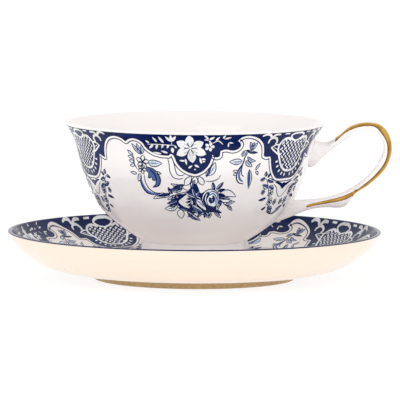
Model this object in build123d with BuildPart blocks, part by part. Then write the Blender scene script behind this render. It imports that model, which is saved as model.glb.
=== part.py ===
"""Porcelain teacup with a raised foot and an ear-shaped handle, standing on its saucer.

Frame: millimetres, +Z up, origin on the common axis of cup and saucer at the plane
that the saucer's foot ring stands on. The handle points to +X.
"""

import os

from build123d import *

# ---- driving dimensions -------------------------------------------------------------
# saucer
saucer_rim_radius = 72.4
saucer_height = 18.5
saucer_wall = 2.8
saucer_rim_wall = 1.6
saucer_well_radius = 40.0
saucer_foot_radius = 39.5
saucer_foot_width = 3.0
saucer_foot_height = 2.6

# cup
cup_rim_radius = 50.4
cup_height = 55.5
cup_wall = 2.4
cup_lip_wall = 1.8
cup_floor = 3.2
foot_height = 9.6
foot_top_radius = 20.6
foot_base_radius = 22.6
foot_wall = 3.2

# handle
handle_width = 5.6
handle_root_depth = 16.0

# small roundings
lip_rounding = 0.7
foot_rounding = 0.7

# ---- heights that follow from them ---------------------------------------------------
well_z = saucer_foot_height + saucer_wall
foot_top_z = well_z + foot_height
cup_floor_z = foot_top_z + cup_floor
rim_z = well_z + cup_height

# Outline of a bowl or dish wall, as shares of its reach and of its rise.
BOWL_FLARE = (
    (0.203, 0.087),
    (0.417, 0.196),
    (0.587, 0.327),
    (0.712, 0.501),
    (0.807, 0.675),
    (0.875, 0.850),
)
DISH_FLARE = (
    (0.44, 0.09),
    (0.60, 0.20),
    (0.73, 0.36),
    (0.86, 0.56),
    (0.945, 0.75),
)

# Handle outline, from the point level with the lip, straight out at the rim radius.
HANDLE_OUTSIDE = (
    (-1.6, -8.0),
    (1.8, -7.3),
    (5.7, -4.7),
    (9.6, -1.6),
    (15.4, 0.0),
    (21.2, -0.8),
    (24.5, -4.2),
    (25.9, -10.4),
    (23.6, -17.6),
    (17.4, -23.9),
    (11.5, -28.0),
    (9.6, -30.6),
    (7.7, -32.6),
    (4.6, -33.2),
    (1.0, -33.1),
    (-5.9, -33.9),
)
HANDLE_INSIDE = (
    (-4.7, -17.2),
    (-0.1, -12.9),
    (7.7, -6.8),
    (11.5, -3.5),
    (15.4, -2.5),
    (19.4, -3.3),
    (22.1, -6.6),
    (22.5, -10.6),
    (19.3, -17.3),
    (15.4, -21.6),
    (7.7, -26.7),
    (-0.1, -29.2),
    (-7.8, -30.0),
)


def along(start, end, shares):
    """Points from start to end, with the shares of the reach and of the rise between."""
    (r0, z0), (r1, z1) = start, end
    return [start] + [(r0 + a * (r1 - r0), z0 + b * (z1 - z0)) for a, b in shares] + [end]


def inside(points, walls):
    """The points moved square to their line, towards the axis side, by each wall."""
    moved = []
    last = len(points) - 1
    for i, ((r, z), wall) in enumerate(zip(points, walls)):
        before, after = points[max(i - 1, 0)], points[min(i + 1, last)]
        run = Vector(after[0] - before[0], after[1] - before[1]).normalized()
        moved.append((r - wall * run.Y, z + wall * run.X))
    return moved


# ---- saucer: dish and foot ring, pressed in one ---------------------------------------
dish_under = along(
    (saucer_well_radius, saucer_foot_height), (saucer_rim_radius, saucer_height), DISH_FLARE
)
dish_over = along(
    (saucer_well_radius - 1.0, well_z),
    (saucer_rim_radius - saucer_rim_wall, saucer_height),
    DISH_FLARE,
)
foot_inner_radius = saucer_foot_radius - saucer_foot_width

with BuildPart() as saucer:
    with BuildSketch(Plane.XZ) as section:
        with BuildLine():
            under = Spline(*dish_under, tangents=[(1, 0.02), (0.35, 1)])
            rim = Line(under @ 1, dish_over[-1])
            over = Spline(*reversed(dish_over), tangents=[(-0.35, -1), (-1, 0)])
            Polyline(
                over @ 1,
                (0, well_z),
                (0, saucer_foot_height),
                (foot_inner_radius, saucer_foot_height),
                (foot_inner_radius + 0.4, 0),
                (saucer_foot_radius - 0.4, 0),
                (saucer_foot_radius, saucer_foot_height),
                under @ 0,
            )
        make_face()
        rim_corners = section.vertices().group_by(Axis.Y)[-1]
        fillet(rim_corners, lip_rounding)
        ring_corners = section.vertices().group_by(Axis.Y)[0]
        fillet(ring_corners, foot_rounding)
    revolve(axis=Axis.Z)
saucer.part.label = "saucer"

# ---- cup bowl: thrown wall with a turned, flat underside ------------------------------
bowl_out = along((foot_top_radius, foot_top_z), (cup_rim_radius, rim_z), BOWL_FLARE)
bowl_walls = [cup_floor] + [cup_wall] * len(BOWL_FLARE) + [cup_lip_wall]
bowl_in = inside(bowl_out, bowl_walls)[1:-1] + [(cup_rim_radius - cup_lip_wall, rim_z)]
floor_radius = bowl_in[0][0] - 8.0

with BuildPart() as cup_bowl:
    with BuildSketch(Plane.XZ) as section:
        with BuildLine():
            outer = Spline(*bowl_out, tangents=[(0.8, 0.57), (0.5, 0.87)])
            Line(outer @ 1, bowl_in[-1])
            inner = Spline(
                *reversed(bowl_in), (floor_radius, cup_floor_z), tangents=[(-0.5, -0.87), (-1, 0)]
            )
            Polyline(inner @ 1, (0, cup_floor_z), (0, foot_top_z), outer @ 0)
        make_face()
        lip_corners = section.vertices().group_by(Axis.Y)[-1]
        fillet(lip_corners, lip_rounding)
    revolve(axis=Axis.Z)
cup_bowl.part.label = "cup_bowl"

# ---- cup foot: hollow pedestal ring, stuck to the bowl with slip ----------------------
with BuildPart() as cup_foot:
    with BuildSketch(Plane.XZ) as section:
        with BuildLine():
            waist = Spline(
                (foot_top_radius, foot_top_z),
                (foot_top_radius + 0.3, foot_top_z - 0.45 * foot_height),
                (foot_base_radius, well_z),
                tangents=[(-0.05, -1), (0.5, -1)],
            )
            Polyline(
                waist @ 1,
                (foot_base_radius - foot_wall, well_z),
                (foot_top_radius - foot_wall, foot_top_z),
                waist @ 0,
            )
        make_face()
        base_corners = section.vertices().group_by(Axis.Y)[0]
        fillet(base_corners, foot_rounding)
    revolve(axis=Axis.Z)
cup_foot.part.label = "cup_foot"

# ---- handle: cast ear, cut to the bowl's curve and stuck on ---------------------------
with BuildPart() as bowl_space:
    with BuildSketch(Plane.XZ):
        with BuildLine():
            wall = Spline(*bowl_out, tangents=[(0.8, 0.57), (0.5, 0.87)])
            Polyline(wall @ 1, (0, rim_z), (0, foot_top_z), wall @ 0)
        make_face()
    revolve(axis=Axis.Z)

root_x = cup_rim_radius - handle_root_depth


def at_lip(points):
    """Handle points placed on the cup."""
    return [(cup_rim_radius + out, rim_z + up) for out, up in points]


with BuildPart() as cup_handle:
    with BuildSketch(Plane.XZ.offset(-handle_width / 2)):
        with BuildLine():
            back = Spline(*at_lip(HANDLE_OUTSIDE))
            grip = Spline(*reversed(at_lip(HANDLE_INSIDE)))
            Polyline(
                back @ 1,
                (root_x, rim_z + HANDLE_OUTSIDE[-1][1] - 2.0),
                (root_x, rim_z + HANDLE_INSIDE[-1][1]),
                grip @ 0,
            )
            Polyline(
                grip @ 1,
                (root_x, rim_z + HANDLE_INSIDE[0][1] - 1.5),
                (root_x, rim_z + HANDLE_OUTSIDE[0][1]),
                back @ 0,
            )
        make_face()
    extrude(amount=handle_width)
    add(bowl_space.part, mode=Mode.SUBTRACT)
cup_handle.part.label = "cup_handle"

# ---- files ----------------------------------------------------------------------------
os.makedirs("parts", exist_ok=True)
export_step(saucer.part, "parts/saucer.step")
export_step(cup_bowl.part, "parts/cup_bowl.step")
export_step(cup_foot.part, "parts/cup_foot.step")
export_step(cup_handle.part, "parts/cup_handle.step")
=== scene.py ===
from bisect import bisect_right
from math import acos, copysign, cos, hypot, pi, radians, sin, tau

import bpy
from mathutils import Matrix, Vector
from mathutils.geometry import delaunay_2d_cdt


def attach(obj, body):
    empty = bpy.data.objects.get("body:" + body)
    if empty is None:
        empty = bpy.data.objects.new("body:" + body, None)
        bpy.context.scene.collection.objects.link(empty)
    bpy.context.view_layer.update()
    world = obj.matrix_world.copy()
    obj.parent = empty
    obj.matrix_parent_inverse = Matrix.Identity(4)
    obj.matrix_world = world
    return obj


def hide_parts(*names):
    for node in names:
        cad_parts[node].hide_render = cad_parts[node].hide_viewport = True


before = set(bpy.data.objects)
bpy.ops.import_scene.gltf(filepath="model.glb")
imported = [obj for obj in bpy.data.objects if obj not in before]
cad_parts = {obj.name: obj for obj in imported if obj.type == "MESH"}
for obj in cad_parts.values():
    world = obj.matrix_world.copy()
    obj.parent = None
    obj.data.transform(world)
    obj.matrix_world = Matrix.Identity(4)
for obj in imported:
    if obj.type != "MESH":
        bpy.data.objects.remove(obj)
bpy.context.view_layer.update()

MM = 0.001

# ---- Camera, table and light ---------------------------------------------------------
# The set stands on a plain white table under soft studio light, seen almost level from
# a little over two metres with a long lens. The table glows a little, as a light table
# does, and fills the undersides.

view_distance = 2.272
view_rise = radians(5.62)
view_tilt = radians(0.285)
view_width = 0.155
aim = Vector((0.0021, 0, 0.0304))

camera = bpy.data.objects.new("camera", bpy.data.cameras.new("camera"))
bpy.context.collection.objects.link(camera)
camera.location = aim + view_distance * Vector((0, -cos(view_rise), sin(view_rise)))
camera.rotation_euler = (
    Matrix.Rotation(pi / 2 - view_rise, 3, "X") @ Matrix.Rotation(view_tilt, 3, "Z")
).to_euler()
camera.data.lens = camera.data.sensor_width * view_distance / view_width
bpy.context.scene.camera = camera


class Socket:
    """A shader value that writes its own Math nodes."""

    def __init__(self, tree, link):
        self.tree = tree
        self.link = link

    def math(self, operation, first, second):
        made = self.tree.node("ShaderNodeMath", {"operation": operation}, {0: first, 1: second})
        return made.out("Value")

    def __add__(self, other):
        return self.math("ADD", self, other)

    def __mul__(self, other):
        return self.math("MULTIPLY", self, other)

    def __sub__(self, other):
        return self.math("SUBTRACT", self, other)

    def __rsub__(self, other):
        return self.math("SUBTRACT", other, self)

    __radd__ = __add__
    __rmul__ = __mul__


class Node:
    """One shader node, whose outputs are Sockets."""

    def __init__(self, tree, node):
        self.tree = tree
        self.node = node

    def out(self, name):
        return Socket(self.tree, self.node.outputs[name])


class Finish:
    """A material, made node by node."""

    def __init__(self, name):
        self.material = bpy.data.materials.new(name)
        self.material.use_nodes = True
        self.nodes = self.material.node_tree.nodes
        self.links = self.material.node_tree.links
        self.surface = Node(self, self.nodes["Principled BSDF"])

    def node(self, kind, settings=None, values=None):
        made = self.nodes.new(kind)
        for key, value in (settings or {}).items():
            if key == "stops":
                ramp = made.color_ramp
                for stop, (place, colour) in zip(ramp.elements, value):
                    stop.position = place
                    stop.color = (*colour, 1)
            else:
                setattr(made, key, value)
        self.feed(made, values or {})
        return Node(self, made)

    def feed(self, node, values):
        for key, value in values.items():
            if isinstance(value, Socket):
                self.links.new(value.link, node.inputs[key])
            else:
                node.inputs[key].default_value = value

    def mix(self, share, first, second):
        """Two colours mixed by the share of the second, each a Socket or plain linear light."""
        made = self.nodes.new("ShaderNodeMix")
        made.data_type = "RGBA"
        self.feed(made, {"Factor": share, 6: first, 7: second})
        return Socket(self, made.outputs[2])

    def ramp(self, value, low, high, start=0.0, end=1.0):
        """From start to end while the value goes from low to high."""
        made = self.node("ShaderNodeMapRange", None, {
            "Value": value, "From Min": low, "From Max": high, "To Min": start, "To Max": end})
        return made.out("Result")

    def shade(self, **values):
        self.feed(self.surface.node, {key.replace("_", " "): v for key, v in values.items()})
        return self.material


def ink_colour(red, green, blue):
    """A colour as a painter's chart gives it, 0 to 255, in the renderer's linear light."""
    shares = (c / 255 for c in (red, green, blue))
    return tuple(s / 12.92 if s <= 0.04045 else ((s + 0.055) / 1.055) ** 2.4 for s in shares)


def add_piece(name, verts, faces, material, smooth=True):
    """A new mesh object, in metres, from points in millimetres."""
    mesh = bpy.data.meshes.new(name)
    mesh.from_pydata([Vector(v) * MM for v in verts], [], faces)
    mesh.validate()
    mesh.polygons.foreach_set("use_smooth", [smooth] * len(mesh.polygons))
    mesh.materials.append(material)
    piece = bpy.data.objects.new(name, mesh)
    bpy.context.collection.objects.link(piece)
    return piece


table_size = 6000
shadow_share = 0.22
table_white = Finish("table_white")
table_white.shade(Base_Color=(0.96, 0.96, 0.96, 1), Roughness=0.9,
                  Emission_Color=(1, 1, 1, 1), Emission_Strength=0.28)
path = table_white.node("ShaderNodeLightPath")
glow = table_white.node("ShaderNodeEmission", None, {"Color": (1, 1, 1, 1), "Strength": 1.0})
seen_white = path.out("Is Camera Ray") + path.out("Is Glossy Ray") + path.out("Is Transmission Ray")
blend = table_white.node("ShaderNodeMixShader", None, {"Fac": seen_white * (1 - shadow_share)})
table_white.links.new(table_white.surface.out("BSDF").link, blend.node.inputs[1])
table_white.links.new(glow.out("Emission").link, blend.node.inputs[2])
table_white.links.new(blend.out("Shader").link, table_white.nodes["Material Output"].inputs["Surface"])
half = table_size / 2
table = add_piece(
    "table",
    [(-half, -half, 0), (half, -half, 0), (half, half, 0), (-half, half, 0)],
    [(0, 1, 2, 3)],
    table_white.material,
    smooth=False,
)

world = bpy.data.worlds.new("studio")
bpy.context.scene.world = world
world.use_nodes = True
sky = world.node_tree
backdrop = sky.nodes["Background"]
backdrop.inputs["Color"].default_value = (1, 1, 1, 1)
backdrop.inputs["Strength"].default_value = 0.87
white_wall = sky.nodes.new("ShaderNodeBackground")
white_wall.inputs["Color"].default_value = (1, 1, 1, 1)
white_wall.inputs["Strength"].default_value = 1.0
seen = sky.nodes.new("ShaderNodeLightPath")
either = sky.nodes.new("ShaderNodeMixShader")
ray_sum = seen.outputs["Is Camera Ray"]
for kind in ("Is Glossy Ray", "Is Transmission Ray"):
    joined = sky.nodes.new("ShaderNodeMath")
    sky.links.new(ray_sum, joined.inputs[0])
    sky.links.new(seen.outputs[kind], joined.inputs[1])
    ray_sum = joined.outputs[0]
sky.links.new(ray_sum, either.inputs["Fac"])
sky.links.new(backdrop.outputs[0], either.inputs[1])
sky.links.new(white_wall.outputs[0], either.inputs[2])
sky.links.new(either.outputs[0], sky.nodes["World Output"].inputs["Surface"])


def add_lamp(name, place, size, power):
    """A square soft lamp that points at the cup."""
    light = bpy.data.lights.new(name, "AREA")
    light.size = size
    light.energy = power
    lamp = bpy.data.objects.new(name, light)
    lamp.location = place
    lamp.rotation_euler = (aim - Vector(place)).to_track_quat("-Z", "Y").to_euler()
    bpy.context.collection.objects.link(lamp)


add_lamp("key_lamp", (-0.9, -1.6, 1.2), 1.6, 6.8)
add_lamp("fill_lamp", (1.5, -1.2, 0.7), 1.4, 3.5)

bpy.context.scene.view_settings.view_transform = "Standard"

# ---- Saucer --------------------------------------------------------------------------
# A shallow dish with a flat well and a low foot ring, pressed in one piece of porcelain
# and dipped in clear glaze. The foot ring is wiped bare for the kiln.

saucer_rim_radius = 72.4
saucer_height = 18.5
saucer_wall = 2.8
saucer_rim_wall = 1.6
saucer_well_radius = 40.0
saucer_foot_radius = 39.5
saucer_foot_width = 3.0
saucer_foot_height = 2.6
well_z = saucer_foot_height + saucer_wall
DISH_FLARE = ((0.44, 0.09), (0.60, 0.20), (0.73, 0.36), (0.86, 0.56), (0.945, 0.75))


def along(start, end, shares):
    """Points from start to end, with the shares of the reach and of the rise between."""
    (r0, z0), (r1, z1) = start, end
    return [start] + [(r0 + a * (r1 - r0), z0 + b * (z1 - z0)) for a, b in shares] + [end]


def smooth_line(points, steps=10, closed=False):
    """A curve through the points, with as many steps between each two."""
    count = len(points)
    if count < 3:
        return [tuple(p) for p in points]
    line = []
    spans = count if closed else count - 1
    for i in range(spans):
        near = [points[(i + k) % count] if closed else points[min(max(i + k, 0), count - 1)]
                for k in (-1, 0, 1, 2)]
        p0, p1, p2, p3 = (Vector(p) for p in near)
        reach = [max((b - a).length, 1e-6) ** 0.5 for a, b in ((p0, p1), (p1, p2), (p2, p3))]
        a0, a1, a2 = reach
        m1 = (p2 - p1) if a0 < 1e-2 else (
            a1 * ((p1 - p0) / a0 - (p2 - p0) / (a0 + a1)) + (p2 - p1))
        m2 = (p2 - p1) if a2 < 1e-2 else (
            a1 * ((p3 - p2) / a2 - (p3 - p1) / (a1 + a2)) + (p2 - p1))
        for k in range(steps):
            t = k / steps
            h00, h10 = 2 * t**3 - 3 * t**2 + 1, t**3 - 2 * t**2 + t
            h01, h11 = 3 * t**2 - 2 * t**3, t**3 - t**2
            line.append(tuple(h00 * p1 + h10 * m1 + h01 * p2 + h11 * m2))
    if not closed:
        line.append(tuple(points[-1]))
    return line


def rounded(line, corners, radius):
    """The line with each listed corner cut and turned into a small arc."""
    result = []
    for i, point in enumerate(line):
        if i not in corners:
            result.append(point)
            continue
        corner = Vector(point)
        before = Vector(line[i - 1]) - corner
        after = Vector(line[(i + 1) % len(line)]) - corner
        start = corner + before.normalized() * min(radius, before.length * 0.9)
        end = corner + after.normalized() * min(radius, after.length * 0.9)
        for k in range(7):
            t = k / 6
            result.append(tuple((1 - t) ** 2 * start + 2 * t * (1 - t) * corner + t * t * end))
    return result


turned_sides = 256


def circle(r, z, sides=turned_sides):
    """A level ring of points about the axis."""
    return [(r * cos(tau * k / sides), r * sin(tau * k / sides), z) for k in range(sides)]


def loft_faces(rows, sides):
    """The quads between closed rings of points, one ring after the other."""
    return [(i * sides + k, i * sides + (k + 1) % sides,
             (i + 1) * sides + (k + 1) % sides, (i + 1) * sides + k)
            for i in range(rows - 1) for k in range(sides)]


def turned(name, section, material, sides=turned_sides):
    """A solid of revolution from a closed section of (radius, height) points."""
    verts, faces = [], []
    rows = len(section)
    ring = []
    for r, z in section:
        ring.append(len(verts))
        if r < 1e-6:
            verts.append((0, 0, z))
        else:
            verts += circle(r, z, sides)
    for i in range(rows):
        j = (i + 1) % rows
        here, there = section[i][0] < 1e-6, section[j][0] < 1e-6
        if here and there:
            continue
        for k in range(sides):
            m = (k + 1) % sides
            if here:
                faces.append((ring[i], ring[j] + m, ring[j] + k))
            elif there:
                faces.append((ring[i] + k, ring[i] + m, ring[j]))
            else:
                faces.append((ring[i] + k, ring[i] + m, ring[j] + m, ring[j] + k))
    return add_piece(name, verts, faces, material)


def glaze(name, cool, warm, bare_below=None, under=None):
    """Clear glaze over white clay, faintly clouded; if asked, a warmer, darker painted shade on faces
    turned down, and a bare tan foot darkened with painted shade.
    """
    finish = Finish(name)
    place = finish.node("ShaderNodeTexCoord").out("Object")
    clouds = finish.node("ShaderNodeTexNoise", None, {"Vector": place, "Scale": 22.0, "Detail": 2.0})
    body = finish.node(
        "ShaderNodeValToRGB",
        {"stops": ((0.3, cool), (0.7, warm))},
        {"Fac": clouds.out("Fac")},
    ).out("Color")
    if under:
        # Faces turned down take the under colour: painted shade of the underside, warmer and darker than
        # the rest.
        normal = finish.node("ShaderNodeNewGeometry").out("Normal")
        facing = finish.node("ShaderNodeSeparateXYZ", None, {"Vector": normal}).out("Z")
        body = finish.mix(finish.ramp(facing, -0.1, 0.1), (*under, 1), body)
    ripple = finish.node("ShaderNodeTexNoise", None, {"Vector": place, "Scale": 160.0, "Detail": 1.0})
    gloss = ripple.out("Fac") * 0.05 + 0.07
    if bare_below:
        height = finish.node("ShaderNodeSeparateXYZ", None, {"Vector": place}).out("Z")
        bare = finish.ramp(height, bare_below, bare_below + 0.3 * MM, 1.0, 0.0)
        grit = finish.node("ShaderNodeTexNoise", None, {"Vector": place, "Scale": 900.0})
        # Bare clay on the foot, rough and tan; the darkness of the tan is painted shade under the piece.
        biscuit_and_shade = finish.node(
            "ShaderNodeValToRGB",
            {"stops": ((0.35, ink_colour(188, 156, 110)), (0.65, ink_colour(206, 176, 130)))},
            {"Fac": grit.out("Fac")},
        ).out("Color")
        body = finish.mix(bare, body, biscuit_and_shade)
        gloss = gloss + bare * 0.6
    wave = finish.node("ShaderNodeBump", None, {"Height": ripple.out("Fac"), "Distance": 0.00003,
                                                "Strength": 0.25})
    return finish.shade(Base_Color=body, Roughness=gloss, Normal=wave.out("Normal"),
                        IOR=1.5, Coat_Weight=0.3, Coat_Roughness=0.03)


dish_under = smooth_line(along((saucer_well_radius, saucer_foot_height),
                               (saucer_rim_radius, saucer_height), DISH_FLARE))
dish_over = smooth_line(along((saucer_well_radius - 1, well_z),
                              (saucer_rim_radius - saucer_rim_wall, saucer_height), DISH_FLARE))
foot_inner = saucer_foot_radius - saucer_foot_width
saucer_section = [
    (0, saucer_foot_height),
    (foot_inner - 0.5, saucer_foot_height),
    (foot_inner, saucer_foot_height - 0.4),
    (foot_inner + 0.4, 0),
    (saucer_foot_radius - 0.4, 0),
    (saucer_foot_radius, saucer_foot_height - 0.3),
]
saucer_section += dish_under + dish_over[::-1] + [(0, well_z)]
feet = {3, 4}
rim = {5 + len(dish_under), 6 + len(dish_under)}
saucer_section = rounded(saucer_section, feet | rim, 0.7)
# The saucer's under colour is painted shade on its faces turned down.
saucer = turned("saucer_glazed", saucer_section, glaze(
    "saucer_glaze", ink_colour(247, 236, 230), ink_colour(251, 243, 238),
    bare_below=0.0022, under=ink_colour(240, 225, 209)))
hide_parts("saucer")
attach(saucer, "saucer_body")

# ---- Cup bowl ------------------------------------------------------------------------
# A thin turned bowl with a flaring lip, in the same glazed porcelain as the saucer. It
# grows out of its foot in one sweep and has a flat floor inside.

cup_rim_radius = 50.4
cup_height = 55.5
cup_wall = 2.4
cup_lip_wall = 1.8
cup_floor = 3.2
foot_height = 9.6
foot_top_radius = 20.6
foot_base_radius = 22.6
foot_wall = 3.2
foot_top_z = well_z + foot_height
rim_z = well_z + cup_height
BOWL_FLARE = ((0.203, 0.087), (0.417, 0.196), (0.587, 0.327), (0.712, 0.501), (0.807, 0.675),
              (0.875, 0.850))


def inside(points, walls):
    """The points moved square to their line, towards the axis side, by each wall."""
    moved = []
    for i, ((r, z), wall) in enumerate(zip(points, walls)):
        before, after = points[max(i - 1, 0)], points[min(i + 1, len(points) - 1)]
        run = (Vector(after) - Vector(before)).normalized()
        moved.append((r - wall * run.y, z + wall * run.x))
    return moved


bowl_points = along((foot_top_radius, foot_top_z), (cup_rim_radius, rim_z), BOWL_FLARE)
bowl_walls = [cup_floor] + [cup_wall] * len(BOWL_FLARE) + [cup_lip_wall]
inner_points = inside(bowl_points, bowl_walls)[1:-1] + [(cup_rim_radius - cup_lip_wall, rim_z)]
cup_floor_z = foot_top_z + cup_floor
bowl_out = smooth_line(bowl_points)
bowl_in = smooth_line([(inner_points[0][0] - 8, cup_floor_z)] + inner_points)
bowl_section = [(0, foot_top_z)] + bowl_out + bowl_in[::-1] + [(0, cup_floor_z)]
lip = {len(bowl_out), len(bowl_out) + 1}
bowl_section = rounded(bowl_section, lip, 0.7)
china = glaze("cup_glaze", ink_colour(250, 244, 242), ink_colour(254, 250, 248))
bowl = turned("cup_bowl_glazed", bowl_section, china)
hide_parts("cup_bowl")
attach(bowl, "cup_body")

# ---- Cup foot ------------------------------------------------------------------------
# A hollow pedestal ring, turned by itself, stuck under the bowl and glazed with it.

waist = smooth_line([(foot_top_radius, foot_top_z),
                     (foot_top_radius + 0.3, foot_top_z - 0.45 * foot_height),
                     (foot_base_radius, well_z)])
foot_section = waist[::-1] + [(foot_top_radius - foot_wall, foot_top_z),
                              (foot_base_radius - foot_wall, well_z)]
foot_section = rounded(foot_section, {0, len(foot_section) - 1}, 0.6)
cup_foot = turned("cup_foot_glazed", foot_section, china)
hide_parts("cup_foot")
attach(cup_foot, "cup_body")

# ---- Handle --------------------------------------------------------------------------
# A cast ear with a thumb dip above and a small spur below, stuck on with slip. Its
# section is a rounded strap, broader where it spreads on to the bowl.

HANDLE_OUTSIDE = ((-4.0, -6.6), (-1.6, -7.6), (1.8, -7.3), (5.7, -4.7), (9.6, -1.6), (15.4, 0.0),
                  (21.2, -0.8), (24.5, -4.2), (25.9, -10.4), (23.6, -17.6), (17.4, -23.9),
                  (11.5, -28.0), (9.6, -30.6), (7.7, -32.6), (4.6, -33.2), (1.0, -33.0),
                  (-5.9, -33.9), (-9.8, -35.4), (-14.4, -37.3), (-18.4, -38.8), (-21.4, -39.4))
HANDLE_INSIDE = ((-7.2, -17.4), (-4.7, -17.2), (-0.1, -12.9), (7.7, -6.8), (11.5, -3.5), (15.4, -2.5),
                 (19.4, -3.3), (22.1, -6.6), (22.5, -10.6), (19.3, -17.3), (15.4, -21.6),
                 (7.7, -26.7), (-0.1, -29.2), (-7.8, -30.0), (-12.6, -30.3))
handle_half_width = 2.8
handle_inset = 0.15
root_spread = 1.0
root_share = 0.08
strap_power = 0.8


def evenly(line, count):
    """The line cut into even steps."""
    run = [0.0]
    for a, b in zip(line, line[1:]):
        run.append(run[-1] + hypot(b[0] - a[0], b[1] - a[1]))
    marks = []
    for k in range(count):
        want = run[-1] * k / (count - 1)
        i = min(bisect_right(run, want), len(line) - 1)
        share = (want - run[i - 1]) / max(run[i] - run[i - 1], 1e-9)
        marks.append(Vector(line[i - 1]).lerp(Vector(line[i]), share))
    return marks


handle_steps = 150
back_line = evenly(smooth_line(HANDLE_OUTSIDE), handle_steps)
grip_line = evenly(smooth_line(HANDLE_INSIDE), handle_steps)


def squared(share):
    """The share of a round section's half width, pushed out towards a square one."""
    return copysign(abs(share) ** strap_power, share)


def handle_point(step, turn, lift=0.0):
    """A point of the handle: turn 0 is its back, half a turn its grip side."""
    back, grip = back_line[step], grip_line[step]
    middle, half_thick = (back + grip) / 2, (back - grip) / 2
    share = step / (handle_steps - 1)
    upper = max(0, 1 - share / root_share)
    lower = max(0, 1 - (1 - share) / root_share)
    spread = root_spread * (upper ** 2 + lower ** 2)
    half_width = handle_half_width - handle_inset + spread + lift
    out = middle + half_thick * squared(cos(turn)) * (1 + lift / max(half_thick.length, 0.5))
    return (cup_rim_radius + out.x, half_width * squared(sin(turn)), rim_z + out.y)


handle_sides = 32
verts = [handle_point(i, tau * k / handle_sides)
         for i in range(handle_steps) for k in range(handle_sides)]
faces = loft_faces(handle_steps, handle_sides)
faces += [tuple(range(handle_sides))[::-1],
          tuple((handle_steps - 1) * handle_sides + k for k in range(handle_sides))]
handle = add_piece("cup_handle_glazed", verts, faces, china)
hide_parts("cup_handle")
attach(handle, "cup_body")

# ---- Transfer print: ink and how it is laid -------------------------------------------
# The pattern is printed in cobalt from an engraved sheet, three times round the cup and
# four round the saucer, under the glaze. One repeat is drawn flat, in millimetres: u runs
# round the wall and v from the edge inwards. Each ink tone is one thin skin.

INKS = {
    "dark": ink_colour(6, 28, 82),
    "mid": ink_colour(84, 108, 164),
    "light": ink_colour(226, 232, 244),
    "white": ink_colour(246, 243, 244),
}
repeat_width = 94.25
ink_base = 0.02
ink_step = 0.012
grid_step = 1.3


def ink_finish(name, colour):
    """Cobalt under glaze: glossy, a little cloudy where the transfer took unevenly."""
    finish = Finish(name)
    place = finish.node("ShaderNodeTexCoord").out("Object")
    pull = finish.node("ShaderNodeTexNoise", None, {"Vector": place, "Scale": 120.0, "Detail": 3.0})
    deep = tuple(c * 0.8 for c in colour)
    pale = tuple(min(1.0, c * 1.2 + 0.004) for c in colour)
    tint = finish.node("ShaderNodeValToRGB", {"stops": ((0.35, deep), (0.65, pale))},
                       {"Fac": pull.out("Fac")})
    gloss = pull.out("Fac") * 0.06 + 0.08
    return finish.shade(Base_Color=tint.out("Color"), Roughness=gloss, IOR=1.25)


ink_materials = {tone: ink_finish("cobalt_" + tone, colour) for tone, colour in INKS.items()}


def run_on(*runs):
    """One line from several smooth runs, with a sharp turn between each two."""
    line = []
    for run in runs:
        line += smooth_line(run, 6)
    return line


def holds(outline, point):
    """Whether the outline encloses the point."""
    x, y = point
    within = False
    for (x0, y0), (x1, y1) in zip(outline, outline[1:] + outline[:1]):
        if (y0 > y) != (y1 > y) and x < (x1 - x0) * (y - y0) / (y1 - y0) + x0:
            within = not within
    return within


def beside(line, gap):
    """The line moved to its left-hand side by the gap."""
    moved = []
    for i, point in enumerate(line):
        before, after = Vector(line[max(i - 2, 0)]), Vector(line[min(i + 2, len(line) - 1)])
        run = (after - before).normalized()
        moved.append((point[0] + gap * run.y, point[1] - gap * run.x))
    return moved


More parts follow.
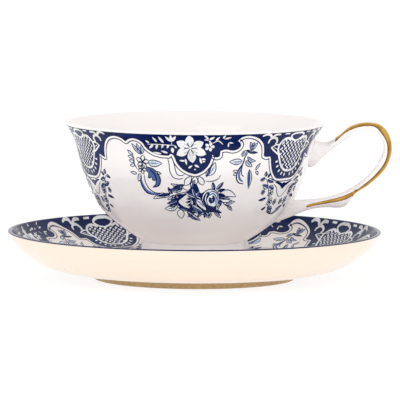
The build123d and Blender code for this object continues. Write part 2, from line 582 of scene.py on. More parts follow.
class Sheet:
    """One repeat of the pattern, gathered by ink tone."""

    def __init__(self):
        self.meshes = {tone: ([], []) for tone in INKS}

    def add(self, tone, level, points, faces):
        verts, kept = self.meshes[tone]
        start = len(verts)
        verts += [(u, v, level) for u, v in points]
        for face in faces:
            area = sum(points[a][0] * points[b][1] - points[b][0] * points[a][1]
                       for a, b in zip(face, face[1:] + face[:1]))
            if abs(area) > 1e-7:
                kept.append([start + k for k in (face[::-1] if area > 0 else face)])

    def blob(self, tone, level, outline):
        """A filled patch."""
        clean = []
        for p, q in zip(outline, outline[1:] + outline[:1]):
            gap = hypot(p[0] - q[0], p[1] - q[1])
            cuts = max(1, int(gap / grid_step)) if gap > 0.02 else 0
            clean += [tuple(Vector(p).lerp(Vector(q), k / cuts)) for k in range(cuts)]
        us, vs = [p[0] for p in clean], [p[1] for p in clean]
        extra = []
        for i in range(int(min(us) / grid_step), int(max(us) / grid_step) + 1):
            for j in range(int(min(vs) / grid_step), int(max(vs) / grid_step) + 1):
                spot = (i * grid_step, j * grid_step)
                if holds(clean, spot):
                    extra.append(spot)
        points = [Vector(p) for p in clean + extra]
        made = delaunay_2d_cdt(points, [], [list(range(len(clean)))], 1, 1e-5)
        self.add(tone, level, [tuple(p) for p in made[0]], [list(f) for f in made[2]])

    def line(self, tone, level, line, width, blunt=0.3):
        """A stroke that swells in the middle; blunt is its share of width at the ends."""
        points, faces = [], []
        last = len(line) - 1
        for i, (u, v) in enumerate(line):
            before, after = Vector(line[max(i - 1, 0)]), Vector(line[min(i + 1, last)])
            run = (after - before).normalized()
            half = width / 2 * (blunt + (1 - blunt) * sin(pi * i / last) ** 0.6)
            points += [(u + half * run.y, v - half * run.x), (u - half * run.y, v + half * run.x)]
        for i in range(last):
            faces.append([2 * i, 2 * i + 1, 2 * i + 3, 2 * i + 2])
        self.add(tone, level, points, faces)

    def patch(self, tone, level, points):
        """A filled patch with a smooth outline through the points."""
        self.blob(tone, level, smooth_line(points, 6, closed=True))

    def stroke(self, tone, level, points, width, blunt=0.3):
        self.line(tone, level, smooth_line(points, 6), width, blunt)

    def leaf(self, tone, level, base, tip, width, bend=0.0, edge=None, vein=None, full=0.8):
        """A pointed leaf or petal, outlined and veined in other tones if asked."""
        base, tip = Vector(base), Vector(tip)
        run = tip - base
        side = Vector((run.y, -run.x)).normalized()
        steps = 8
        spine = [base + run * (k / steps) + side * bend * sin(pi * k / steps)
                 for k in range(steps + 1)]
        swell = [width / 2 * sin(pi * (k / steps) ** full) ** 0.85 for k in range(steps + 1)]
        left = [tuple(s + side * w) for s, w in zip(spine, swell)]
        right = [tuple(s - side * w) for s, w in zip(spine, swell)]
        if tone == "mid":
            self.blob("light", level, left + right[-2:0:-1])
            shaded = [tuple(s) for s in spine]
            self.blob("mid", level + 0.5, right[1:-1] + shaded[-2:0:-1])
            self.line("dark", level + 1, shaded[:-1], 0.42, 0.4)
        elif tone:
            self.blob(tone, level, left + right[-2:0:-1])
        if edge:
            self.line(edge, level + 1, left, 0.36, 0.6)
            self.line(edge, level + 1, right, 0.36, 0.6)
        if vein:
            self.line(vein, level + 1, [tuple(s) for s in spine[:-2]], 0.34, 0.3)
            for k in (2, 3, 4):
                rib = spine[k] + side * swell[k] * 0.75 + run * 0.1
                self.line(vein, level + 1, [tuple(spine[k]), tuple(rib)], 0.26, 0.6)

    def flower(self, tone, level, centre, reach, count, turn=0.0, edge=None, heart="dark"):
        """A round of petals about a small heart."""
        centre = Vector(centre)
        for k in range(count):
            angle = turn + tau * k / count
            way = Vector((sin(angle), -cos(angle)))
            self.leaf(tone, level, centre + way * reach * 0.1, centre + way * reach,
                      reach * 3.0 / count, 0, edge, None, 1.25)
        ring = [tuple(centre + 0.16 * reach * Vector((cos(tau * k / 8), sin(tau * k / 8))))
                for k in range(8)]
        self.blob(heart, level + 2, ring)


# ---- Transfer print: border and reserves ----------------------------------------------
# A solid cobalt band hangs from the edge in two kinds of lappet. Between them it is cut
# back in scrolled reserves, and a fine line follows its whole lower edge.

lattice_u = 42.15
sheet = Sheet()
band_edge = run_on(
    [(42.15, 19.4), (39, 19.4), (36, 19), (34, 17.5), (32.5, 15.5), (31.5, 13), (31, 11), (30.5, 10.2)],
    [(30.5, 10.2), (28.8, 10.3), (27.5, 9.9)],
    [(27.5, 9.8), (27.2, 7.5), (26.4, 5.4), (25, 3.8), (23, 2.5), (20.5, 1.7), (18.5, 1.6),
     (16.7, 2.2), (15.6, 3.4)],
    [(15.6, 3.4), (16.8, 4.5), (17.1, 5.4), (16.5, 6.5), (15, 7.2), (13.5, 7.2), (12, 6.8),
     (10.8, 6.9), (9.7, 7.3)],
    [(9.6, 7.4), (9.5, 8.4), (9.4, 9.3), (8.4, 9.8), (7.4, 9.6), (6.7, 8.9)],
    [(6.6, 8.6), (6.3, 10.3), (5.4, 12.6), (3.8, 14.6), (1.8, 15.9), (0.2, 16.4)],
    [(0.2, 16.4), (-2.4, 15.7), (-4.8, 14.3), (-6.6, 12.2), (-7.5, 10.2), (-8, 9.1), (-8.8, 8.6),
     (-9.7, 9.2)],
    [(-9.7, 9.3), (-12.9, 9.1), (-15.5, 8.4), (-17.5, 7.2), (-18.7, 5.9), (-19.1, 4.8),
     (-20.4, 3.6), (-22.6, 2.9), (-24.6, 3.3), (-26.2, 4.3)],
    [(-26.2, 4.3), (-27.6, 3.2), (-29.6, 2.5), (-32, 2.6), (-34.4, 3.6), (-36.4, 5.4), (-37.7, 7.6),
     (-38.3, 9.8), (-38.2, 11.2)],
    [(-38.3, 11.3), (-39.6, 10.9), (-41.2, 10.2)],
    [(-41.4, 10.4), (-41.8, 12.5), (-42.8, 15), (-44.6, 17.2), (-46.5, 18.7), (-48.6, 19.3),
     (-52.1, 19.4)],
)
band_top = 0.9
band = [(lattice_u - repeat_width * k / 60, band_top) for k in range(60, -1, -1)] + band_edge
sheet.blob("dark", 0, band)
sheet.line("dark", 1, beside(band_edge, 0.95), 0.36, 1.0)


# ---- Transfer print: lappet with the six-petalled flower ------------------------------
# White flower, sprays and dashes, left in reserve on the solid blue. The lappet hangs
# near the middle of the repeat.

heart_u, heart_v = -1.6, 6.2
for tip, width in (((-2.0, 1.1), 3.0), ((3.1, 3.7), 3.1), ((4.2, 8.6), 3.2), ((-0.7, 11.9), 3.2),
                   ((-6.7, 8.9), 3.2), ((-6.5, 3.6), 3.1)):
    sheet.leaf("white", 2, (heart_u, heart_v), tip, width, full=1.3)
    way = Vector(tip) - Vector((heart_u, heart_v))
    for lean in (-0.3, 0.3):
        side = Vector((way.y, -way.x)) * lean * 0.35
        near, far = way * 0.25 + side, way * 0.52 + side
        sheet.stroke("mid", 3, [(heart_u + near.x, heart_v + near.y),
                                (heart_u + far.x, heart_v + far.y)], 0.42)
for k in range(6):
    angle = tau * (k + 0.5) / 6
    spot = (heart_u + 2.3 * sin(angle), heart_v - 2.3 * cos(angle))
    sheet.stroke("dark", 3, [(heart_u + 0.5 * sin(angle), heart_v - 0.5 * cos(angle)), spot], 0.62, 0.6)
sheet.blob("white", 4, [(heart_u + 0.35 * cos(tau * k / 8), heart_v + 0.35 * sin(tau * k / 8))
                        for k in range(8)])
for base, tip, width in (
    ((-3.6, 11.2), (-5.8, 11.0), 0.7), ((-3.5, 10.3), (-3.0, 12.8), 0.8),
    ((2.6, 12.2), (1.9, 9.8), 0.8), ((2.5, 10.4), (4.2, 10.6), 0.8), ((2.9, 11.6), (4.0, 11.2), 0.5),
    ((-2.4, 14.0), (-0.9, 12.9), 0.8), ((-0.1, 12.7), (1.8, 13.6), 0.8), ((-0.2, 14.4), (0.6, 14.5), 0.5),
    ((-16.6, 4.4), (-18.0, 3.5), 0.8), ((-13.6, 4.0), (-15.1, 2.0), 0.8),
    ((-11.2, 4.2), (-12.9, 1.7), 1.0), ((-15.2, 5.0), (-17.0, 6.6), 0.9), ((-13.6, 4.8), (-14.4, 6.9), 0.9),
    ((-11.4, 4.6), (-12.2, 6.4), 0.8), ((-9.4, 4.9), (-10.2, 6.4), 0.8), ((-7.2, 5.2), (-6.6, 6.3), 0.7),
    ((-8.2, 6.0), (-8.1, 8.2), 1.2), ((-8.4, 3.8), (-8.4, 0.9), 1.1), ((-8.5, 3.6), (-10.4, 1.6), 1.0),
    ((-8.3, 3.6), (-6.5, 1.4), 1.1), ((-12.4, 8.6), (-15.8, 8.0), 0.7), ((-10.0, 8.2), (-12.6, 7.4), 0.8),
    ((4.9, 2.6), (3.2, 0.9), 0.8), ((5.1, 2.8), (7.0, 1.7), 0.9), ((5.0, 2.9), (3.2, 2.8), 0.6),
    ((5.2, 3.0), (5.5, 4.2), 0.6), ((7.4, 3.2), (8.8, 1.6), 0.7), ((9.9, 2.3), (10.8, 1.0), 0.7),
    ((10.6, 2.6), (13.0, 1.9), 0.7), ((12.3, 5.8), (12.2, 4.0), 0.6), ((12.3, 4.0), (14.0, 4.3), 0.6),
):
    sheet.leaf("white", 2, base, tip, width)
for twig in ([(-17.4, 4.9), (-13.5, 4.9), (-7.2, 5.1)], [(6.4, 4.2), (8.4, 3.3), (10.2, 4.7)],
             [(-8.3, 3.4), (-8.3, 5.2)], [(10.2, 1.8), (10.6, 2.6)]):
    sheet.stroke("white", 2, twig, 0.32, 0.5)
sheet.flower("white", 2, (5.4, 5.6), 1.9, 5, 0.3)

# ---- Transfer print: lattice lappet ----------------------------------------------------
# A pomegranate of white basket lattice with two pointed ears, a looped crown and curls.
# It is the same both ways about its middle line.

for side in (-1, 1):
    def flip(points, side=side):
        """The points set either way from the lappet's middle."""
        return [(lattice_u + side * u, v) for u, v in points]

    sheet.stroke("white", 4, flip([(0, 16.3), (-2.6, 15.9), (-5.2, 14), (-6.6, 11.4), (-7.5, 9.2),
                                   (-8.2, 7.4), (-8, 5.4), (-6.6, 3.7), (-4.4, 3.4), (-2.8, 4.4)]),
                 0.9, 1.0)
    sheet.stroke("white", 4, flip([(0, 1.5), (-2, 1.6), (-3.7, 2.4), (-2.2, 3.9), (0, 4.7)]), 0.7, 1.0)
    sheet.stroke("white", 4, flip([(-7.9, 6.1), (-9.6, 5.6), (-11.9, 6.7)]), 0.6, 0.8)
    sheet.stroke("white", 4, flip([(-11.9, 6.7), (-9.4, 8.5), (-7.3, 9.8)]), 0.6, 0.8)
    sheet.stroke("white", 4, flip([(-10.6, 6.7), (-8.4, 7.6)]), 0.4, 0.6)
    sheet.stroke("white", 4, flip([(-17.3, 1.9), (-15.8, 1.3), (-14.2, 1.5), (-13.1, 2.5),
                                   (-11.6, 1.6), (-9.4, 1.6)]), 0.9, 0.6)
    sheet.stroke("white", 4, flip([(-13.8, 4.9), (-13.7, 3.6), (-12.5, 2.8), (-10.9, 3.1),
                                   (-10.0, 4.5), (-10.5, 5.4)]), 0.9, 0.6)
    sheet.stroke("white", 4, flip([(-7.4, 1.5), (-5.0, 1.5)]), 0.6, 0.8)
    for u, v, lean in ((-7.9, 12.4, 0.3), (-7.1, 14.3, 0.55), (-5.7, 16.1, 0.75), (-3.8, 17.2, 1.0),
                       (-1.8, 17.8, 1.3)):
        way = Vector((-cos(lean), sin(lean))) * 0.75
        sheet.leaf("white", 2, flip([(u - way.x, v - way.y)])[0], flip([(u + way.x, v + way.y)])[0], 0.8)
    sheet.blob("dark", 1, run_on(flip([(0, 23.7), (-2.2, 22.2), (-6.0, 20.6)]),
                                 flip([(-6.0, 20.4), (-3.4, 20.6), (-1.5, 21.2)]),
                                 flip([(-1.3, 21.3), (0, 20.9)])))
    sheet.stroke("dark", 1, flip([(-6.6, 21.2), (-4.2, 22.8), (-3, 24.6), (-1.2, 26.3), (0, 26.6)]), 0.35)
    for base, tip, width in (
        ((-12.0, 18.6), (-14.3, 19.3), 1.2), ((-11.6, 18.0), (-12.2, 16.0), 1.3),
        ((-10.8, 18.4), (-9.4, 17.0), 1.0), ((-10.6, 19.4), (-7.0, 20.6), 1.4),
        ((-9.0, 22.6), (-12.6, 21.2), 1.6), ((-8.8, 22.0), (-5.6, 23.4), 1.3),
        ((-8.6, 26.6), (-12.6, 27.4), 0.9), ((-6.8, 30.4), (-9.0, 31.3), 0.9),
        ((-5.6, 30.6), (-1.6, 31.6), 1.3), ((-4.8, 31.8), (0.0, 33.6), 1.3),
    ):
        sheet.leaf("mid", 1, flip([base])[0], flip([tip])[0], width, 0.2, "dark")
    for centre, reach in (((-6.8, 24.8), 1.7), ((-5.6, 28.4), 1.8), ((-11.3, 24.2), 1.1),
                          ((-2.2, 28.6), 1.3)):
        sheet.flower("light", 1, flip([centre])[0], reach, 5, 0.4, "dark")
    sheet.stroke("dark", 1, flip([(-11.6, 18.6), (-10.2, 20.6), (-8.6, 23.4), (-6.8, 27),
                                  (-5.2, 30.8)]), 0.35)

fruit = smooth_line([(lattice_u + side * u, v) for side, run in (
    (-1, [(2.8, 4.4), (4.4, 3.4), (6.6, 3.7), (8, 5.4), (8.2, 7.4), (7.5, 9.2), (6.6, 11.4), (5.2, 14),
          (2.6, 15.9)]),
    (1, [(2.6, 15.9), (5.2, 14), (6.6, 11.4), (7.5, 9.2), (8.2, 7.4), (8, 5.4), (6.6, 3.7), (4.4, 3.4),
         (2.8, 4.4)])) for u, v in run], 5, closed=True)
weave_step = 1.08
brick_length, brick_width = 1.3, 0.66
for i in range(-10, 11):
    for j in range(-10, 11):
        spot = (lattice_u + (i - j) * weave_step, 9.6 + (i + j) * weave_step)
        shrunk = (lattice_u + (spot[0] - lattice_u) * 1.09, 9.6 + (spot[1] - 9.6) * 1.09)
        if not holds(fruit, shrunk):
            continue
        slant = pi / 4 if (i + j) % 2 else -pi / 4
        long_way = Vector((cos(slant), sin(slant))) * brick_length / 2
        wide_way = Vector((-sin(slant), cos(slant))) * brick_width / 2
        corners = [long_way + wide_way, wide_way - long_way, -long_way - wide_way, long_way - wide_way]
        sheet.add("white", 3, [(spot[0] + c.x, spot[1] + c.y) for c in corners], [[0, 1, 2, 3]])

# ---- Transfer print: reserves with a sprig each ----------------------------------------
# Fine line-engraved flowers, with pale washes in their leaves. One sprig stands in each
# reserve, left and right of the flower lappet.

for base, tip, width, bend in (
    ((-20.6, 9.0), (-23.8, 4.9), 1.5, 0.3), ((-20.6, 9.0), (-21.8, 4.8), 1.3, 0.2),
    ((-20.5, 9.0), (-19.9, 5.2), 1.4, -0.3),
):
    sheet.leaf("light", 1, base, tip, width, bend, "dark", "mid")
for base, tip in (((-24.2, 9.4), (-26.3, 7.6)), ((-24.2, 10.6), (-26.4, 9.8)),
                  ((-24.0, 12.0), (-26.2, 11.6)), ((-23.8, 13.2), (-26.0, 13.6)),
                  ((-23.4, 16.6), (-26.3, 16.2)), ((-15.6, 16.0), (-13.0, 16.4))):
    sheet.leaf("light", 1, base, tip, 1.0, 0.1, "dark")
sheet.stroke("dark", 2, [(-24.6, 8.6), (-24.0, 11), (-24.0, 13), (-22.8, 15)], 0.5)
sheet.flower("white", 2, (-20.4, 12.0), 2.7, 5, 0.2, "dark")
sheet.flower("white", 3, (-20.9, 14.8), 1.9, 5, 0.5, "dark")
sheet.leaf("light", 1, (-18.2, 12.2), (-12.5, 12.3), 2.6, -0.2, "dark", "mid")
sheet.blob("mid", 1, run_on(
    [(-18.8, 13.8), (-16.2, 14.6), (-14.2, 16.8), (-13.7, 19.2), (-14.8, 21.2), (-17.2, 21.9)],
    [(-17.2, 21.9), (-15.9, 20.6), (-15.6, 19.2)], [(-15.6, 19.2), (-17.0, 18.9), (-16.9, 17.8)],
    [(-16.9, 17.8), (-18.6, 18.2), (-18.4, 16.6)], [(-18.4, 16.6), (-19.2, 15.2), (-18.8, 13.8)]))
for points, width in (
    ([(-18.8, 13.8), (-16.2, 14.6), (-14.2, 16.8), (-13.7, 19.2), (-14.8, 21.2), (-17.4, 21.9)], 0.5),
    ([(-17.2, 21.7), (-15.9, 20.6), (-15.6, 19.2)], 0.35),
    ([(-15.6, 19.2), (-17.0, 18.9), (-16.9, 17.8)], 0.35),
    ([(-16.9, 17.8), (-18.6, 18.2), (-18.4, 16.6)], 0.35),
    ([(-17.6, 14.8), (-15.8, 16.8), (-15.2, 19.2)], 0.6),
):
    sheet.stroke("dark", 2, points, width, 0.4)
sheet.leaf("light", 1, (-22.0, 16.6), (-23.4, 19.8), 1.6, 0.2, "dark")
sheet.stroke("mid", 1, [(-22.2, 17.6), (-21.8, 20.6), (-20.4, 23.2), (-18.0, 24.4), (-14.5, 24.4)], 1.1)
sheet.stroke("dark", 2, [(-22.6, 19.2), (-21.9, 22.0), (-20.3, 24.1), (-17.4, 24.9)], 0.6)
sheet.stroke("dark", 2, [(-20.3, 16.8), (-20.2, 20.0), (-18.9, 22.6), (-16.6, 24.0), (-13, 24.0)], 0.45)

for base, tip, width, bend in (
    ((21.6, 7.2), (20.6, 4.0), 1.1, -0.2), ((21.9, 7.2), (22.2, 4.2), 1.1, 0),
    ((22.2, 7.2), (23.7, 4.4), 1.2, 0.2),
    ((18.0, 9.6), (20.2, 7.2), 1.4, 0.2), ((18.4, 11.4), (13.3, 11.6), 2.2, 0.2),
    ((19.8, 11.4), (22.9, 13.8), 1.7, -0.2), ((20.4, 9.8), (24.2, 11.6), 1.3, -0.7),
):
    sheet.leaf("light", 1, base, tip, width, bend, "dark", "mid")
sheet.leaf("mid", 2, (19.6, 7.2), (24.6, 8.4), 1.0, -0.3, "dark")
sheet.stroke("dark", 2, [(20.4, 8.2), (19.4, 10.0), (18.8, 12.4), (17.2, 15.0), (16.7, 17.8), (18.0, 19.9),
                         (20.2, 20.4)], 0.6, 0.4)
sheet.stroke("dark", 2, [(18.9, 12.2), (18.5, 15.0), (19.0, 17.0), (20.0, 17.5)], 0.4, 0.4)
sheet.stroke("mid", 1, [(18.6, 13.4), (17.7, 16.4), (18.2, 18.4), (19.8, 19.6)], 0.9)
sheet.leaf("mid", 1, (21.8, 14.8), (22.9, 22.4), 1.7, 0.3, "dark")
sheet.stroke("light", 2, [(22.9, 15.6), (23.0, 19.4)], 0.5)
for base, tip in (((24.6, 15.2), (26.4, 12.6)), ((24.8, 15.6), (26.2, 17.2)), ((17.2, 15.4), (15.0, 15.2)),
                  ((16.9, 16.2), (15.2, 16.8))):
    sheet.leaf("light", 1, base, tip, 0.9, 0.1, "dark")
sheet.stroke("dark", 1, [(10.4, 16.6), (9.0, 18.4), (6.0, 19.2), (4.0, 19.0)], 0.35)
sheet.leaf("light", 1, (5.0, 17.0), (7.8, 11.6), 2.4, -0.6, "dark", "mid")
sheet.leaf("mid", 1, (4.6, 17.4), (6.2, 13.4), 1.2, 0.2, "dark")

# ---- Transfer print: strap, lobes and bouquet -------------------------------------------
# Under the flower lappet hang a strap, three lobes and a dense posy, with an open rose
# to its right.

for strap_edge in (
    [(-10.1, 10.4), (-9.7, 13.0), (-9.5, 15.6), (-8.3, 17.7), (-6.0, 18.3), (-4.6, 18.0)],
    [(-8.3, 10.4), (-7.7, 13.0), (-7.3, 15.2), (-6.6, 16.6), (-5.2, 16.9), (-3.9, 16.5)],
):
    sheet.stroke("dark", 1, strap_edge, 0.35, 0.7)
for base, tip, width in (((-1.2, 17.0), (-3.9, 20.8), 2.4), ((0.3, 17.0), (0.0, 20.4), 2.4),
                         ((1.4, 17.0), (3.6, 20.6), 2.2)):
    sheet.leaf("white", 2, base, tip, width, 0, "dark", None, 1.2)
for tone, base, tip, width, bend in (
    ("mid", (-5.0, 22.4), (-10.9, 22.6), 1.5, 0.3), ("light", (-6.4, 25.2), (-11.6, 26.6), 1.5, -0.3),
    ("mid", (-7.0, 26.4), (-12.0, 28.2), 1.3, 0.2), ("mid", (-1.4, 21.8), (0.2, 18.6), 1.5, 0.2),
    ("light", (0.2, 30.6), (-3.2, 33.4), 1.4, 0.2), ("mid", (3.4, 31.2), (1.2, 33.4), 1.2, 0.2),
    ("light", (10.4, 27.6), (9.8, 31.2), 1.5, 0.2), ("mid", (4.6, 31.4), (4.8, 33.8), 1.2, 0.2),
    ("light", (-4.6, 21.4), (-9.6, 20.2), 1.3, 0.3), ("mid", (-4.0, 20.6), (-9.0, 22.0), 1.0, -0.2),
    ("white", (-7.6, 23.7), (-2.6, 23.0), 1.9, 0.5), ("light", (-10.4, 24.9), (-18.0, 26.4), 1.9, -0.6),
    ("mid", (-9.8, 24.0), (-16.0, 25.2), 0.9, 0.2), ("mid", (-9.2, 24.2), (-10.8, 21.6), 1.2, 0.2),
    ("light", (-8.0, 24.6), (-10.0, 27.8), 1.9, 0.3), ("light", (-7.0, 28.3), (-13.4, 30.3), 2.4, 0.6),
    ("mid", (-7.4, 28.0), (-11.6, 29.2), 1.0, 0.2), ("white", (-6.3, 30.4), (-6.2, 34.2), 3.2, 0.0),
    ("mid", (-3.4, 31.2), (3.0, 34.8), 1.9, -0.4), ("light", (-1.0, 30.6), (5.6, 32.6), 1.9, 0.5),
    ("mid", (-2.4, 30.6), (-7.4, 29.6), 1.1, 0.2), ("light", (8.6, 31.0), (12.8, 34.0), 1.2, 0.1),
    ("mid", (8.4, 30.6), (12.6, 31.9), 0.9, 0.1), ("mid", (8.2, 22.6), (7.2, 19.4), 1.2, 0.1),
    ("mid", (9.0, 22.4), (11.6, 19.5), 1.3, -0.1), ("dark", (9.6, 23.1), (12.6, 22.3), 0.9, 0.0),
    ("white", (9.8, 24.6), (17.9, 25.5), 2.7, 1.1), ("white", (10.2, 26.4), (16.4, 27.0), 1.4, -0.3),
    ("light", (10.6, 25.8), (15.4, 26.2), 1.0, 0.1),
    ("dark", (9.6, 24.4), (13.0, 24.9), 0.9, 0.1), ("light", (13.6, 28.6), (17.9, 27.4), 1.2, 0.2),
    ("light", (14.6, 29.0), (17.4, 31.0), 1.1, 0.1), ("mid", (10.8, 26.6), (11.6, 29.0), 1.0, 0.1),
):
    sheet.leaf(tone, 1, base, tip, width, bend, "dark", "dark" if tone == "light" else None)
sheet.stroke("dark", 1, [(11.2, 26.4), (13.2, 28.4), (15.2, 29.4)], 0.4)
sheet.patch("dark", 1, [
    (-8.2, 24.6), (-4, 24), (-1.4, 21.4), (0.4, 19.8), (1.6, 21.8), (2.6, 23.8), (5, 22.8),
    (9.4, 23.6), (11, 25), (10.4, 28.6), (8.6, 31.4), (4, 31.6), (0, 31.9), (-4.6, 30.4),
    (-7.6, 28.4),
])
sheet.patch("white", 3, [
    (-7.0, 27.2), (-5.0, 25.4), (-2.9, 23.9), (-1.2, 25.4), (-0.8, 28.2), (-2.6, 29.8),
    (-5.0, 29.2),
])
for start, end in (((-1.2, 24.8), (-3.2, 25.0)), ((-1.0, 25.6), (-3.8, 26.2)), ((-1.0, 26.6), (-4.2, 27.6)),
                   ((-1.0, 27.6), (-3.4, 28.9)), ((-1.1, 28.5), (-2.4, 29.6))):
    sheet.leaf("dark", 4, start, end, 0.5)
    sheet.leaf("mid", 4, (start[0], start[1] + 0.5), (end[0] * 0.9, end[1] + 0.3), 0.4)
sheet.stroke("dark", 4, [(-2.9, 23.9), (-5.0, 25.4), (-7.0, 27.2), (-5.0, 29.2), (-2.6, 30.0)], 0.4, 0.7)
for turn in range(9):
    angle = radians(-150 + 27 * turn)
    tip = (-0.6 + 3.4 * cos(angle), 25.6 + 3.6 * sin(angle))
    sheet.leaf("dark" if turn % 2 else "mid", 5, (0.6, 25.4), tip, 1.1)
sheet.patch("dark", 5, [
    (-0.9, 22.2), (0.8, 22.9), (2.2, 24.2), (1.6, 25.8), (0.4, 27.4), (-1.2, 26.6), (-1.4, 24.6),
])
sheet.leaf("white", 6, (0.4, 26.2), (5.4, 30.9), 2.5, 0.3, "dark", "mid")
sheet.leaf("mid", 3, (-1.2, 28.6), (3.8, 31.0), 2.0, -0.4, "dark")
sheet.flower("light", 3, (6.8, 32.6), 1.4, 5, 0.3, "dark")

rose_u, rose_v = 6.8, 26.0
rose_rim = [(rose_u + 3.7 * cos(a), rose_v + 3.8 * sin(a)) for a in (tau * k / 28 for k in range(28))]
sheet.blob("light", 6, rose_rim)
sheet.line("dark", 7, rose_rim + rose_rim[:1], 0.35, 1.0)
sheet.patch("dark", 7, [
    (4.0, 24.6), (5.6, 23.2), (6.4, 24.2), (5.4, 26.2), (6.0, 28.4), (8.2, 29.2), (6.6, 29.8),
    (4.4, 28.6), (3.5, 26.6),
])
sheet.patch("dark", 7, [
    (7.6, 24.6), (8.8, 25.8), (8.4, 27.4), (6.9, 27.9), (6.0, 26.8), (6.3, 25.4), (7.4, 25.8),
])
for points in ([(5.9, 23.6), (7.8, 23.1), (9.6, 24.4), (9.8, 26.6), (8.9, 28.4)],
               [(6.2, 24.7), (7.8, 24.0), (9.2, 25.6), (8.9, 27.6)],
               [(6.8, 26.2), (7.6, 26.5), (7.4, 27.2)]):
    sheet.stroke("mid", 8, points, 0.5, 0.4)
sheet.stroke("white", 8, [(5.2, 24.0), (4.6, 26.0), (5.4, 28.2)], 0.35, 0.4)
sheet.leaf("dark", 5, (7.0, 29.4), (9.6, 30.6), 1.2, 0.1)
sheet.leaf("dark", 5, (6.4, 29.6), (5.6, 31.6), 1.2, 0.1)

# ---- Transfer print: laid on the cup and on the saucer ----------------------------------
# Geometry Nodes turn the one repeat round the axis, one skin for each tone of ink. The
# saucer also has a fine cobalt line round its lip.

repeats_tree = bpy.data.node_groups.new("turn_repeats", "GeometryNodeTree")
face = repeats_tree.interface
face.new_socket("Geometry", in_out="INPUT", socket_type="NodeSocketGeometry")
count_socket = face.new_socket("Repeats", in_out="INPUT", socket_type="NodeSocketInt")
ink_socket = face.new_socket("Ink", in_out="INPUT", socket_type="NodeSocketMaterial")
face.new_socket("Geometry", in_out="OUTPUT", socket_type="NodeSocketGeometry")
tree_in = repeats_tree.nodes.new("NodeGroupInput")
tree_out = repeats_tree.nodes.new("NodeGroupOutput")
spots = repeats_tree.nodes.new("GeometryNodePoints")
number = repeats_tree.nodes.new("GeometryNodeInputIndex")
part_turn = repeats_tree.nodes.new("ShaderNodeMath")
part_turn.operation = "DIVIDE"
angle_of = repeats_tree.nodes.new("ShaderNodeMath")
angle_of.operation = "MULTIPLY"
angle_of.inputs[1].default_value = tau
about_z = repeats_tree.nodes.new("ShaderNodeCombineXYZ")
place_all = repeats_tree.nodes.new("GeometryNodeInstanceOnPoints")
realize = repeats_tree.nodes.new("GeometryNodeRealizeInstances")
set_ink = repeats_tree.nodes.new("GeometryNodeSetMaterial")
for start, end in (
    (tree_in.outputs["Repeats"], spots.inputs["Count"]),
    (number.outputs[0], part_turn.inputs[0]),
    (tree_in.outputs["Repeats"], part_turn.inputs[1]),
    (part_turn.outputs[0], angle_of.inputs[0]),
    (angle_of.outputs[0], about_z.inputs["Z"]),
    (spots.outputs[0], place_all.inputs["Points"]),
    (tree_in.outputs["Geometry"], place_all.inputs["Instance"]),
    (about_z.outputs[0], place_all.inputs["Rotation"]),
    (place_all.outputs[0], realize.inputs[0]),
    (realize.outputs[0], set_ink.inputs["Geometry"]),
    (tree_in.outputs["Ink"], set_ink.inputs["Material"]),
    (set_ink.outputs[0], tree_out.inputs[0]),
):
    repeats_tree.links.new(start, end)


def between(line, where, axis):
    """The point and the direction of a rising line where its axis value is the one asked."""
    for a, b in zip(line, line[1:]):
        low, high = sorted((a[axis], b[axis]))
        if low <= where <= high and high > low:
            share = (where - a[axis]) / (b[axis] - a[axis])
            return Vector(a).lerp(Vector(b), share), (Vector(b) - Vector(a)).normalized()
    return Vector(line[-1]), (Vector(line[-1]) - Vector(line[-2])).normalized()


def lay_print(name, body, repeats, lay):
    """Map the sheet by lay(u, v, level), turn it round and join each tone into a piece."""
    for tone, (points, faces) in sheet.meshes.items():
        ink = ink_materials[tone]
        one = add_piece(name + tone, [lay(*point) for point in points], faces, ink)
        step = one.modifiers.new("repeats", "NODES")
        step.node_group = repeats_tree
        step[count_socket.identifier] = repeats
        step[ink_socket.identifier] = ink
        whole = bpy.data.meshes.new_from_object(one.evaluated_get(bpy.context.evaluated_depsgraph_get()))
        one.modifiers.clear()
        one.data = whole
        one.data.name = name + tone
        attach(one, body)


def on_cup(u, v, level):
    """A place of the sheet on the bowl's outside."""
    point, run = between(bowl_out, rim_z - v, 1)
    out = Vector((run.y, -run.x)) * (ink_base + ink_step * level)
    r, z = point.x + out.x, point.y + out.y
    angle = tau / 3 * u / repeat_width
    return (r * sin(angle), -r * cos(angle), z)


saucer_repeats = 4
saucer_turn = radians(72.2)
saucer_shrink = 0.85


def on_saucer(u, v, level):
    """A place of the sheet on the saucer's upper side, its foot towards the middle."""
    r = saucer_rim_radius - saucer_rim_wall - saucer_shrink * v + 0.8
    if r < dish_over[0][0]:
        point, run = Vector((r, well_z)), Vector((1, 0))
    else:
        point, run = between(dish_over, min(r, dish_over[-1][0]), 0)
    out = Vector((-run.y, run.x)) * (ink_base + ink_step * level)
    r, z = point.x + out.x, point.y + out.y
    angle = saucer_turn - tau / saucer_repeats * u / repeat_width
    return (r * sin(angle), -r * cos(angle), z)


rim_line_width = 1.5
lip_points = [(r, z) for r, z in saucer_section if z > saucer_height - rim_line_width * 0.45]
lip_middle = (saucer_rim_radius - saucer_rim_wall / 2, saucer_height - 1.2)
rim_ring = []
for r, z in lip_points:
    away = (Vector((r, z)) - Vector(lip_middle)).normalized() * 2 * ink_base
    rim_ring.append((r + away.x, z + away.y))
verts = [point for r, z in rim_ring for point in circle(r, z)]
faces = loft_faces(len(rim_ring), turned_sides)
rim_line = add_piece("saucer_rim_line", verts, faces, ink_materials["dark"])
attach(rim_line, "saucer_body")

lay_print("cup_print_", "cup_body", 3, on_cup)
lay_print("saucer_print_", "saucer_body", saucer_repeats, on_saucer)

# ---- Gilding ----------------------------------------------------------------------------
# Gold lustre brushed over the handle's back and on to each cheek. At the spur it leaves the
# back and runs on as one narrow stripe along each cheek.

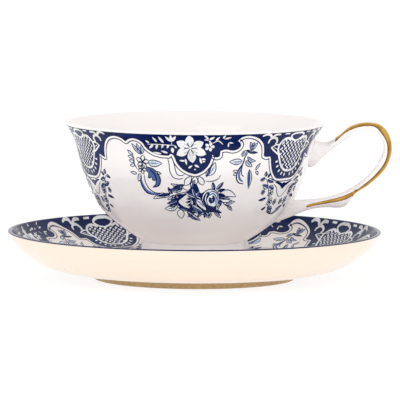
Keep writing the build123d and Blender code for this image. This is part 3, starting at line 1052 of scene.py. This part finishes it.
gold = Finish("gold_lustre")
spot = gold.node("ShaderNodeTexCoord").out("Object")
brushed = gold.node("ShaderNodeTexNoise", None, {"Vector": spot, "Scale": 260.0, "Detail": 3.0})
shine = gold.node("ShaderNodeValToRGB",
                  {"stops": ((0.3, ink_colour(206, 150, 62)), (0.7, ink_colour(236, 196, 104)))},
                  {"Fac": brushed.out("Fac")})
edge = gold.node("ShaderNodeAttribute", {"attribute_name": "thin"}).out("Fac")
gold.shade(Base_Color=gold.mix(edge, shine.out("Color"), (*ink_colour(104, 66, 22), 1)), Metallic=1.0,
           Roughness=brushed.out("Fac") * 0.12 + 0.12)

gild_sides = 10
gild_lift = 0.04
gild_start_x, gild_end_x = 4.0, -11.6
gild_taper = 3
spur_z = -31.0
spur_steps = 7
cheek_turn, crest_drop = 78, 18
stripe_top, stripe_foot = 2.8, 5.4
top_step = max(range(handle_steps), key=lambda i: back_line[i].y)
gild_first = next(i for i in range(handle_steps) if back_line[i].x > gild_start_x)
gild_last = next(i for i in range(top_step, handle_steps) if back_line[i].x < gild_end_x)
spur_step = next(i for i in range(top_step, handle_steps) if back_line[i].y < spur_z)


def turn_at(step, depth):
    """The turn round the handle that lies the depth from its grip side."""
    reach = max(-1.0, min(1.0, 2 * depth / (back_line[step] - grip_line[step]).length - 1))
    return acos(copysign(abs(reach) ** (1 / strap_power), reach))


verts, faces, thin = [], [], []
for i in range(gild_first, gild_last + 1):
    from_end = min(i - gild_first, gild_last - i) / gild_taper
    fade = min(1.0, 0.15 + from_end)
    low = max(0.0, min(1.0, 1 + (i - spur_step) / spur_steps))
    crest = max(0.0, 1 + back_line[i].y / 5)
    near = low * turn_at(i, stripe_foot)
    far = (1 - low) * radians(cheek_turn - crest_drop * crest) + low * turn_at(i, stripe_top)
    middle = (near + far) / 2 if low > 0.5 else 0.0
    near, far = middle + (near - middle) * fade, middle + (far - middle) * fade
    for side in (-1, 1):
        for k in range(gild_sides + 1):
            share = k / gild_sides
            verts.append(handle_point(i, side * (near + (far - near) * share), gild_lift))
            thin.append(max(share, (1 - share) * low) ** 2)
row = 2 * (gild_sides + 1)
for i in range(gild_last - gild_first):
    for side in (0, 1):
        for k in range(gild_sides):
            a = i * row + side * (gild_sides + 1) + k
            quad = (a, a + 1, a + 1 + row, a + row)
            faces.append(quad if side else quad[::-1])
gilding = add_piece("handle_gilding", verts, faces, gold.material)
worn = gilding.data.attributes.new("thin", "FLOAT", "POINT")
worn.data.foreach_set("value", thin)
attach(gilding, "cup_body")
